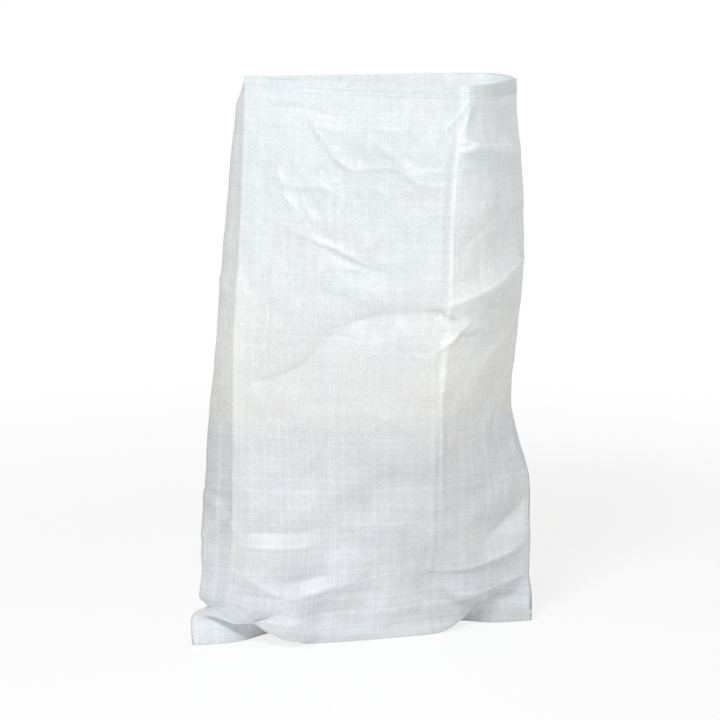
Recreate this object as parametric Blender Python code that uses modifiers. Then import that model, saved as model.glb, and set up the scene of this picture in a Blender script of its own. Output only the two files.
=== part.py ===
"""Woven rubble bag, standing open and empty-mouthed, its lower part filled out.

The bag is one length of tubular woven cloth. Its mouth is hemmed inwards and its bottom end is folded over and
sewn. Every ring of the standing bag keeps the tube's girth: the widths are given and the depth follows.
Metres, +Z up. The front faces -Y and the bag stands on Z = 0.
"""

import math

import bmesh
import bpy
from mathutils import Vector

# Cloth and sewing
flat_width = 0.600  # the tube lying flat, from side fold to side fold
flat_length = 1.000  # the finished bag lying flat, from mouth to bottom fold
cloth = 0.0009  # modelled thickness of the woven tape cloth
layer_gap = 0.0004  # air between folded layers
hem_depth = 0.025  # mouth turned inwards
seam_depth = 0.028  # bottom end folded over
seam_turn_in = 0.025  # length of cloth behind the bottom fold
thread_diameter = 0.0011
thread_gap = 0.0004
stitch_below_edge = (0.011, 0.019)  # the two hem rows, down from the mouth
seam_stitch_below = 0.010  # the bottom row, down from the top of the folded strip

# Standing shape
base_take_up = 0.050  # flat length that turns under at the bottom
height = flat_length - base_take_up
base_ring_height = 0.090  # below it the cloth turns under to the seam
seam_angle = math.radians(12.65)  # the bottom seam is turned, its left end forward
seam_centre = Vector((0.0073, -0.0017, 0.0))
ear_length = 0.050  # at each end the seam stands upright for this length
ear_blend = 0.150  # and then rolls under the bag over this length
ear_tilt = math.radians(25)  # the upright ends lean back
seam_exit = 0.0065  # cloth that bends straight out of the seam
heel_start = 0.60  # share of the way to the side where the cloth leaves the floor
back_fold = 0.420  # along the cloth from the left side fold to the storage creases
left_bulge = 0.055  # cloth from the left side fold to the outermost point behind it

# Rings: height, then the plan position of the left side fold, the front crease, the right side fold, the back
# crease and the outermost point on the left
rings = (
    (0.085, (-0.226, -0.095), (0.124, -0.055), (0.294, 0.062), (0.091, 0.095), (-0.269, -0.052)),
    (0.190, (-0.214, -0.092), (0.126, -0.075), (0.294, 0.055), (0.100, 0.108), (-0.262, -0.046)),
    (0.270, (-0.212, -0.086), (0.126, -0.100), (0.290, 0.040), (0.118, 0.120), (-0.257, -0.036)),
    (0.330, (-0.211, -0.078), (0.127, -0.120), (0.273, 0.020), (0.130, 0.126), (-0.253, -0.028)),
    (0.405, (-0.212, -0.068), (0.130, -0.138), (0.255, 0.008), (0.145, 0.130), (-0.247, -0.016)),
    (0.515, (-0.211, -0.046), (0.144, -0.150), (0.262, -0.006), (0.168, 0.130), (-0.236, 0.004)),
    (0.610, (-0.205, -0.028), (0.157, -0.156), (0.269, -0.014), (0.184, 0.130), (-0.230, 0.022)),
    (0.700, (-0.199, -0.008), (0.159, -0.158), (0.271, -0.020), (0.194, 0.132), (-0.221, 0.036)),
    (0.800, (-0.1955, 0.010), (0.162, -0.162), (0.267, -0.018), (0.208, 0.138), (-0.213, 0.042)),
    (0.900, (-0.193, 0.025), (0.172, -0.167), (0.258, -0.016), (0.217, 0.146), (-0.204, 0.043)),
    (0.925, (-0.1925, 0.028), (0.173, -0.169), (0.257, -0.015), (0.219, 0.149), (-0.196, 0.047)),
    (0.950, (-0.192, 0.030), (0.173, -0.170), (0.257, -0.015), (0.220, 0.150), (-0.187, 0.050)),
)
crease_sharpness = (0.85, 0.45, 0.95, 0.60, 0.0)  # in the order of the points above
panel_bow = (0.26, 0.10, 0.20, 0.26, 0.30)  # radians that each panel bows outwards at a crease
mouth_droop = 0.006  # the middle of the back edge hangs this much lower
droop_reach = 0.25  # and the droop fades out this far below the mouth

# Mesh
column_steps = (18, 8, 7, 16, 3)  # per panel, going round from the left side fold over the front
curve_steps = 40  # per panel while its length is measured
girth_trials = 24  # halvings of the interval that holds the right depth
depth_range = (0.5, 1.6)  # of the depth given in the rings
wall_rows = 21
under_shares = (0.20, 0.42, 0.60, 0.76, 0.91, 0.98)  # rows under the bag, from the seam to its side
seam_handle = 0.45  # how far the cloth keeps the seam's direction, as a share of its way
side_handle = 0.25  # how far below the first ring it already hangs upright, likewise
sharpest_mitre = 0.35  # limit on how far a thread moves out at a corner
tube_sides = 6
hem_edge_row = -5  # the mouth's outer edge, counted from the cut end of the hem

# Folds pressed into the cloth: side (-1 front, 1 back), start (x, z), end (x, z), half-width, height outwards
fold_fade = 0.15  # share of its length over which a fold fades in
fold_overrun = 0.25  # and the share past its ends where it is gone
folds = (
    (-1, (0.170, 0.850), (0.270, 0.842), 0.016, 0.005),
    (-1, (0.166, 0.600), (0.262, 0.662), 0.018, 0.006),
    (-1, (0.010, 0.560), (0.150, 0.575), 0.030, -0.007),
    (-1, (-0.020, 0.830), (0.135, 0.805), 0.022, -0.005),
    (-1, (-0.065, 0.705), (0.020, 0.650), 0.020, -0.005),
    (-1, (-0.190, 0.240), (-0.040, 0.250), 0.030, 0.006),
    (-1, (-0.180, 0.150), (-0.010, 0.150), 0.028, 0.007),
    (-1, (0.190, 0.165), (0.285, 0.215), 0.026, -0.006),
    (-1, (0.110, 0.095), (0.235, 0.140), 0.024, -0.006),
    (1, (-0.120, 0.620), (0.080, 0.560), 0.034, -0.008),
    (1, (-0.200, 0.430), (-0.060, 0.480), 0.030, 0.007),
    (1, (0.020, 0.800), (0.160, 0.730), 0.026, -0.006),
    (1, (-0.160, 0.190), (0.120, 0.170), 0.034, 0.007),
)


def smooth_step(value, low, high):
    share = min(max((value - low) / (high - low), 0.0), 1.0)
    return share * share * (3 - 2 * share)


def through(heights, values, z):
    """A smooth curve through the values at the heights, read at z."""
    last = len(heights) - 1
    k = min(max(sum(h <= z for h in heights) - 1, 0), last - 1)
    slopes = []
    for i in (k, k + 1):
        before = max(i - 1, 0)
        after = min(i + 1, last)
        slopes.append((values[after] - values[before]) / (heights[after] - heights[before]))
    span = heights[k + 1] - heights[k]
    s = min(max((z - heights[k]) / span, 0.0), 1.0)
    rise = values[k] * (1 + 2 * s) * (1 - s) ** 2 + values[k + 1] * s * s * (3 - 2 * s)
    return rise + span * (slopes[0] * s * (1 - s) ** 2 - slopes[1] * s * s * (1 - s))


def key_points(z):
    """Plan positions of the ring's five named points at height z."""
    heights = [ring[0] for ring in rings]
    points = []
    for k in range(1, 6):
        x = through(heights, [ring[k][0] for ring in rings], z)
        y = through(heights, [ring[k][1] for ring in rings], z)
        points.append(Vector((x, y)))
    return points


def turned(direction, angle):
    return Vector((
        direction.x * math.cos(angle) - direction.y * math.sin(angle),
        direction.x * math.sin(angle) + direction.y * math.cos(angle),
    ))


def panel_curve(keys, k):
    """Fine points along one panel of the ring, from key k to the next."""
    start = keys[k]
    end = keys[(k + 1) % 5]
    chord = end - start
    reach = chord.length
    along = chord.normalized()
    ahead = (keys[(k + 2) % 5] - start).normalized()
    behind = (end - keys[(k - 1) % 5]).normalized()
    sharp = crease_sharpness[k]
    sharp_next = crease_sharpness[(k + 1) % 5]
    leave = (turned(along, -panel_bow[k]) * sharp + behind * (1 - sharp)).normalized()
    arrive = (turned(along, panel_bow[k]) * sharp_next + ahead * (1 - sharp_next)).normalized()
    points = []
    for i in range(curve_steps + 1):
        s = i / curve_steps
        points.append(
            start * (1 + 2 * s) * (1 - s) ** 2
            + end * s * s * (3 - 2 * s)
            + leave * reach * s * (1 - s) ** 2
            - arrive * reach * s * s * (1 - s)
        )
    return points


def deepened(keys, factor):
    """The ring's points, with their distance from the line between the two side folds scaled."""
    left = keys[0]
    right = keys[2]
    slope = (right.y - left.y) / (right.x - left.x)
    moved = []
    for point in keys:
        level = left.y + slope * (point.x - left.x)
        moved.append(Vector((point.x, level + (point.y - level) * factor)))
    return moved


def length_of(points):
    return sum((b - a).length for a, b in zip(points, points[1:]))


def girth_keys(z):
    """The ring's points at height z, as deep as the tube's girth allows."""
    keys = key_points(z)
    low, high = depth_range
    for _ in range(girth_trials):
        middle = (low + high) / 2
        moved = deepened(keys, middle)
        girth = sum(length_of(panel_curve(moved, k)) for k in range(5))
        if girth < 2 * flat_width:
            low = middle
        else:
            high = middle
    return deepened(keys, low)


def spaced(points, count):
    """The points at equal steps along a polyline, without its last point."""
    total = length_of(points)
    found = []
    k = 0
    passed = 0.0
    for i in range(count):
        wanted = total * i / count
        while passed + (points[k + 1] - points[k]).length < wanted:
            passed += (points[k + 1] - points[k]).length
            k += 1
        share = (wanted - passed) / (points[k + 1] - points[k]).length
        found.append(points[k].lerp(points[k + 1], share))
    return found


def ring_plan(z):
    keys = girth_keys(z)
    plan = []
    for k, count in enumerate(column_steps):
        plan.extend(spaced(panel_curve(keys, k), count))
    return plan


def seam_columns():
    """For each column, its place along the seam and its side: -1 front, 1 back, 0 at a side fold."""
    panels = (
        (0.0, back_fold, -1),
        (back_fold, flat_width, -1),
        (flat_width, back_fold, 1),
        (back_fold, left_bulge, 1),
        (left_bulge, 0.0, 1),
    )
    columns = []
    for (start, end, side), count in zip(panels, column_steps):
        for i in range(count):
            along = start + (end - start) * i / count
            at_fold = i == 0 and along in (0.0, flat_width)
            columns.append((along, 0 if at_fold else side))
    return columns


def outward(plan, i):
    """The ring's outward direction at one column."""
    ahead = plan[(i + 1) % len(plan)] - plan[i]
    behind = plan[i] - plan[i - 1]
    along = ahead.normalized() + behind.normalized()
    return Vector((along.y, -along.x, 0)).normalized()


def fold_height(point, side):
    """How far the pressed folds push the cloth out at a point of the front or the back."""
    push = 0.0
    for fold_side, start, end, half_width, rise in folds:
        if fold_side != side:
            continue
        a = Vector(start)
        run = Vector(end) - a
        offset = Vector((point.x, point.z)) - a
        share = offset.dot(run) / run.length_squared
        across = (offset - run * share).length
        ends = smooth_step(share, -fold_overrun, fold_fade) * smooth_step(1 - share, -fold_overrun, fold_fade)
        push += rise * ends * math.exp(-((across / half_width) ** 2))
    return push


def wall_ring(z, columns):
    """One ring of the standing wall, with its folds and the droop of the back edge."""
    plan = ring_plan(z)
    ring = []
    for i, (along, side) in enumerate(columns):
        flat = Vector((plan[i].x, plan[i].y, z))
        out = outward(plan, i)
        point = flat + out * fold_height(flat, side)
        near_mouth = smooth_step(z, height - droop_reach, height)
        swing = math.sin(math.pi * along / flat_width) if side == 1 else 0.0
        point.z -= mouth_droop * near_mouth * swing
        ring.append((point, out))
    return ring


layer = cloth + layer_gap
strip_lift = cloth / 2 + layer / 2 + thread_diameter + 2 * thread_gap
seam_along = Vector((math.cos(seam_angle), math.sin(seam_angle), 0))
seam_back = Vector((-math.sin(seam_angle), math.cos(seam_angle), 0))
up = Vector((0, 0, 1))
fold_bottom = 1.5 * layer + cloth / 2  # from the fold's axis to the strip's lowest face


def seam_roll(along):
    """How far the folded strip is rolled under at a place along the seam: 0 upright, a right angle flat."""
    from_end = min(along, flat_width - along)
    tilt = ear_tilt if along < flat_width / 2 else 0.0
    return (math.pi / 2 + tilt) * smooth_step(from_end, ear_length, ear_length + ear_blend) - tilt


def strip_frame(along):
    """Top of the folded strip, its direction down the strip and its direction through the layers."""
    roll = seam_roll(along)
    down = -up * math.cos(roll) + seam_back * math.sin(roll)
    through_layers = seam_back * math.cos(roll) + up * math.sin(roll)
    level = (seam_depth + fold_bottom) * math.cos(roll) + strip_lift * abs(math.sin(roll))
    top = seam_centre + seam_along * (along - flat_width / 2) + up * level
    return top, down, through_layers


def strip_points(along, side):
    """One column of the folded strip, from the cut edge behind it, round the bottom fold, up to the seam."""
    top, down, depth = strip_frame(along)
    offset = side * layer / 2
    axis = top + down * seam_depth + depth * layer
    radius = layer - offset
    points = [axis - down * seam_turn_in + depth * radius]
    for turn in (0, 60, 120, 180):
        angle = math.radians(turn)
        points.append(axis + depth * radius * math.cos(angle) + down * radius * math.sin(angle))
    points.append(top + depth * offset + down * seam_stitch_below)
    points.append(top + depth * offset)
    return points


def heel_height(share):
    """Height of the turned-under cloth at a share of the way from the seam to the bag's side: flat, then a heel."""
    rise = max(share - heel_start, 0.0) / (1 - heel_start)
    return cloth / 2 + (base_ring_height - cloth / 2) * (1 - math.sqrt(max(1 - rise * rise, 0.0)))


def under_points(along, side, ring_point):
    """One column of the cloth that leaves the seam, turns under the bag and rises to the first ring."""
    top, down, depth = strip_frame(along)
    roll = seam_roll(along)
    bend = 2 * max(roll, 0.0) if side == 1 else 0.0
    point = top + depth * side * layer / 2
    points = []
    for i in range(3):
        angle = bend * (i + 0.5) / 3
        point = point + (-down * math.cos(angle) + depth * math.sin(angle)) * seam_exit / 3
        points.append(point)
    lean = abs(math.sin(roll)) if side == 1 else -math.sin(roll)
    direction = up * math.cos(roll) + seam_back * lean
    reach = (ring_point - point).length
    first = point + direction * reach * seam_handle
    second = ring_point - up * reach * side_handle
    flat_run = Vector((ring_point.x - point.x, ring_point.y - point.y, 0))
    for i, share in enumerate(under_shares):
        s = (i + 1) / (len(under_shares) + 1)
        standing = (
            point * (1 - s) ** 3
            + first * 3 * s * (1 - s) ** 2
            + second * 3 * s * s * (1 - s)
            + ring_point * s**3
        )
        resting = point + flat_run * share
        resting.z = heel_height(share)
        away = (resting - seam_centre).dot(seam_back)
        if side == 1:
            past_strip = smooth_step(away, seam_depth + 2 * layer, seam_depth + 8 * layer)
            resting.z = max(resting.z, point.z * (1 - past_strip))
        curve = standing.lerp(resting, math.sin(max(roll, 0.0)) ** 2)
        curve.z = max(curve.z, cloth / 2)
        points.append(curve)
    return points


def hem_points(wall, out):
    """The mouth edge of one column: over the top and down the inside."""
    radius = layer / 2
    edge = wall + up * (hem_depth - radius)
    axis = edge - out * radius
    points = [edge]
    for turn in (60, 120, 180):
        angle = math.radians(turn)
        points.append(axis + out * radius * math.cos(angle) + up * radius * math.sin(angle))
    points.append(points[-1] - up * (hem_depth - radius))
    return points


def sack_grid():
    """The middle surface of the cloth, as rows of points from the cut bottom end to the cut end of the hem."""
    columns = seam_columns()
    hem_foot = height - hem_depth
    heights = [
        base_ring_height + (hem_foot - base_ring_height) * i / wall_rows for i in range(wall_rows + 1)
    ]
    walls = [wall_ring(z, columns) for z in heights]
    mouth = wall_ring(height, columns)
    grid = []
    for i, (along, side) in enumerate(columns):
        column = strip_points(along, side)
        column.extend(under_points(along, side, walls[0][i][0]))
        column.extend(ring[i][0] for ring in walls)
        top, out = mouth[i]
        foot = walls[-1][i][0]
        lean = top - foot - up * (top.z - foot.z)
        hem = hem_points(foot, out)
        for k, point in enumerate(hem[:-1]):
            hem[k] = point + lean
        for below in reversed(stitch_below_edge):
            column.append(foot.lerp(hem[0], 1 - below / hem_depth))
        column.extend(hem)
        grid.append(column)
    return grid


def material(name, colour, roughness):
    made = bpy.data.materials.new(name)
    made.use_nodes = True
    shader = made.node_tree.nodes["Principled BSDF"]
    shader.inputs["Base Color"].default_value = (*colour, 1)
    shader.inputs["Roughness"].default_value = roughness
    shader.inputs["Metallic"].default_value = 0.0
    made.diffuse_color = (*colour, 1)
    return made


def add_object(name, bm, finish):
    bmesh.ops.recalc_face_normals(bm, faces=bm.faces)
    mesh = bpy.data.meshes.new(name)
    bm.to_mesh(mesh)
    bm.free()
    mesh.materials.append(finish)
    mesh.shade_smooth()
    obj = bpy.data.objects.new(name, mesh)
    parts.objects.link(obj)
    return obj


def make_sack(grid):
    bm = bmesh.new()
    rows = [[bm.verts.new(point) for point in column] for column in grid]
    for i, column in enumerate(rows):
        neighbour = rows[(i + 1) % len(rows)]
        for j in range(len(column) - 1):
            bm.faces.new((column[j], neighbour[j], neighbour[j + 1], column[j + 1]))
    sack = add_object("sack_fabric", bm, woven)
    thicken = sack.modifiers.new("cloth thickness", "SOLIDIFY")
    thicken.thickness = cloth
    thicken.offset = 0.0
    thicken.use_even_offset = False
    return sack


def tube_along(name, centres, closed, finish):
    """A thread as a round tube through its centre points, each given with an outward direction."""
    bm = bmesh.new()
    count = len(centres)
    sections = []
    for i, (centre, out) in enumerate(centres):
        before = centres[i - 1][0] if i or closed else centre
        after = centres[(i + 1) % count][0] if i < count - 1 or closed else centre
        along = (after - before).normalized()
        side = along.cross(out).normalized()
        section = []
        for k in range(tube_sides):
            angle = math.tau * k / tube_sides
            arm = out * math.cos(angle) + side * math.sin(angle)
            section.append(bm.verts.new(centre + arm * thread_diameter / 2))
        sections.append(section)
    joins = count if closed else count - 1
    for i in range(joins):
        near = sections[i]
        far = sections[(i + 1) % count]
        for k in range(tube_sides):
            n = (k + 1) % tube_sides
            bm.faces.new((near[k], near[n], far[n], far[k]))
    if not closed:
        bm.faces.new(sections[0][::-1])
        bm.faces.new(sections[-1])
    return add_object(name, bm, finish)


def make_hem_thread(name, grid, row):
    """A row of stitching round the outside of the hem, along one row of the cloth."""
    stand_off = cloth / 2 + thread_gap + thread_diameter / 2
    level = [column[row] for column in grid]
    centres = []
    for i, point in enumerate(level):
        ahead = (level[(i + 1) % len(level)] - point).normalized()
        behind = (point - level[i - 1]).normalized()
        mitre = (ahead + behind).normalized()
        rise = (grid[i][row + 1] - point).normalized()
        out = mitre.cross(rise).normalized()
        centres.append((point + out * stand_off / max(mitre.dot(ahead), sharpest_mitre), out))
    return tube_along(name, centres, True, sewing)


def make_seam_thread():
    """The row of stitching along the front of the folded strip."""
    stand_off = layer / 2 + cloth / 2 + thread_gap + thread_diameter / 2
    centres = []
    for along, side in seam_columns():
        if side == -1:
            top, down, depth = strip_frame(along)
            centres.append((top + down * seam_stitch_below - depth * stand_off, -depth))
    return tube_along("base_seam_thread", centres, False, sewing)


def stand_on_origin():
    """Moves the whole bag so that the middle of its plan is at the origin."""
    bpy.context.view_layer.update()
    graph = bpy.context.evaluated_depsgraph_get()
    corners = []
    for obj in parts.objects:
        shape = obj.evaluated_get(graph)
        corners.extend(vertex.co.copy() for vertex in shape.data.vertices)
    middle = Vector((
        (min(c.x for c in corners) + max(c.x for c in corners)) / 2,
        (min(c.y for c in corners) + max(c.y for c in corners)) / 2,
        min(c.z for c in corners),
    ))
    for obj in parts.objects:
        obj.location = -middle


for old in list(bpy.data.objects):
    bpy.data.objects.remove(old)
parts = bpy.data.collections.new("rubble_bag")
bpy.context.scene.collection.children.link(parts)
woven = material("woven polypropylene", (0.86, 0.88, 0.89), 0.42)
sewing = material("sewing thread", (0.90, 0.90, 0.88), 0.60)
sack_rows = sack_grid()
make_sack(sack_rows)
make_hem_thread("hem_thread_upper", sack_rows, hem_edge_row - 1)
make_hem_thread("hem_thread_lower", sack_rows, hem_edge_row - 2)
make_seam_thread()
stand_on_origin()
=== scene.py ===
"""The look of the woven rubble bag: its cloth with folds and weave, its stitching, and the studio round it.

The cloth is the same inextensible tube as the solid: rings of constant girth over a turned-under, sewn bottom.
Metres, +Z up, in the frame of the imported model.
"""

import math

import bpy
import numpy as np
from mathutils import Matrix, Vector


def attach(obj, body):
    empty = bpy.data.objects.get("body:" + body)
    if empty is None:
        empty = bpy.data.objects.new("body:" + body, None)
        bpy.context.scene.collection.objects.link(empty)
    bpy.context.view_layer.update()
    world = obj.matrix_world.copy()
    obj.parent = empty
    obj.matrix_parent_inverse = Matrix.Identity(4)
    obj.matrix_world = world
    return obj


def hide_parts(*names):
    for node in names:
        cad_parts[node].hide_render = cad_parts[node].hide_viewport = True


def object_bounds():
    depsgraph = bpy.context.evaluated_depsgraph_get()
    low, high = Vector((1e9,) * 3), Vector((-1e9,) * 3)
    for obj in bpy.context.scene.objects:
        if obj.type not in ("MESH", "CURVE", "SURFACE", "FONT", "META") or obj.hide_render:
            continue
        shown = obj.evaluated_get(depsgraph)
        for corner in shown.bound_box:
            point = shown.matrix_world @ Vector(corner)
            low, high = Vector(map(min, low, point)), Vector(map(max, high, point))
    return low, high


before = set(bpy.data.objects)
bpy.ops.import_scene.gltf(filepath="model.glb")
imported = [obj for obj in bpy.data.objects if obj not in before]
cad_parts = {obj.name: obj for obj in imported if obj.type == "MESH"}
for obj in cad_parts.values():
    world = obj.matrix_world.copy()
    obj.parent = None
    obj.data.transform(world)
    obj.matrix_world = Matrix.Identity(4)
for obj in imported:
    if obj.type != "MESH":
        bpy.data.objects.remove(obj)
cad_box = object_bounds()

# Cloth and sewing, as on the solid
flat_width = 0.600
layer = 0.0013  # from the middle of one folded layer to the next
half_cloth = 0.00045
hem_depth = 0.025
seam_depth = 0.028
seam_turn_in = 0.025
thread_diameter = 0.0011
thread_gap = 0.0004
stitch_below_edge = (0.011, 0.019)
seam_stitch_below = 0.010

# Standing shape, as on the solid
height = 0.950
base_ring_height = 0.090
seam_angle = math.radians(12.65)
seam_centre = np.array((0.0073, -0.0017, 0.0))
ear_length = 0.050
ear_blend = 0.150
ear_tilt = math.radians(25)
seam_exit = 0.0065
heel_start = 0.60
back_fold = 0.420
left_bulge = 0.055
rings = (
    (0.085, (-0.226, -0.095), (0.124, -0.055), (0.294, 0.062), (0.091, 0.095), (-0.269, -0.052)),
    (0.190, (-0.214, -0.092), (0.126, -0.075), (0.294, 0.055), (0.100, 0.108), (-0.262, -0.046)),
    (0.270, (-0.212, -0.086), (0.126, -0.100), (0.290, 0.040), (0.118, 0.120), (-0.257, -0.036)),
    (0.330, (-0.211, -0.078), (0.127, -0.120), (0.273, 0.020), (0.130, 0.126), (-0.253, -0.028)),
    (0.405, (-0.212, -0.068), (0.130, -0.138), (0.255, 0.008), (0.145, 0.130), (-0.247, -0.016)),
    (0.515, (-0.211, -0.046), (0.144, -0.150), (0.262, -0.006), (0.168, 0.130), (-0.236, 0.004)),
    (0.610, (-0.205, -0.028), (0.157, -0.156), (0.269, -0.014), (0.184, 0.130), (-0.230, 0.022)),
    (0.700, (-0.199, -0.008), (0.159, -0.158), (0.271, -0.020), (0.194, 0.132), (-0.221, 0.036)),
    (0.800, (-0.1955, 0.010), (0.162, -0.162), (0.267, -0.018), (0.208, 0.138), (-0.213, 0.042)),
    (0.900, (-0.193, 0.025), (0.172, -0.167), (0.258, -0.016), (0.217, 0.146), (-0.204, 0.043)),
    (0.925, (-0.1925, 0.028), (0.173, -0.169), (0.257, -0.015), (0.219, 0.149), (-0.196, 0.047)),
    (0.950, (-0.192, 0.030), (0.173, -0.170), (0.257, -0.015), (0.220, 0.150), (-0.187, 0.050)),
)
crease_sharpness = (0.97, 0.62, 0.95, 0.70, 0.0)
panel_bow = (0.26, 0.10, 0.20, 0.26, 0.30)
mouth_droop = 0.002
under_shares = (0.0, 0.20, 0.42, 0.60, 0.76, 0.91, 0.98, 1.0)

# Folds pressed into the cloth, as on the solid: side (-1 front, 1 back), start (x, z), end (x, z), half-width and
# height outwards
folds = (
    (-1, (0.170, 0.850), (0.270, 0.842), 0.016, 0.005),
    (-1, (0.166, 0.600), (0.262, 0.662), 0.018, 0.006),
    (-1, (0.010, 0.560), (0.150, 0.575), 0.030, -0.007),
    (-1, (-0.020, 0.830), (0.135, 0.805), 0.022, -0.005),
    (-1, (-0.065, 0.705), (0.020, 0.650), 0.020, -0.005),
    (-1, (-0.190, 0.240), (-0.040, 0.250), 0.030, 0.006),
    (-1, (-0.180, 0.150), (-0.010, 0.150), 0.028, 0.007),
    (-1, (0.190, 0.165), (0.285, 0.215), 0.026, -0.006),
    (-1, (0.110, 0.095), (0.235, 0.140), 0.024, -0.006),
    (1, (-0.120, 0.620), (0.080, 0.560), 0.034, -0.008),
    (1, (-0.200, 0.430), (-0.060, 0.480), 0.030, 0.007),
    (1, (0.020, 0.800), (0.160, 0.730), 0.026, -0.006),
    (1, (-0.160, 0.190), (0.120, 0.170), 0.034, 0.007),
)

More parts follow.
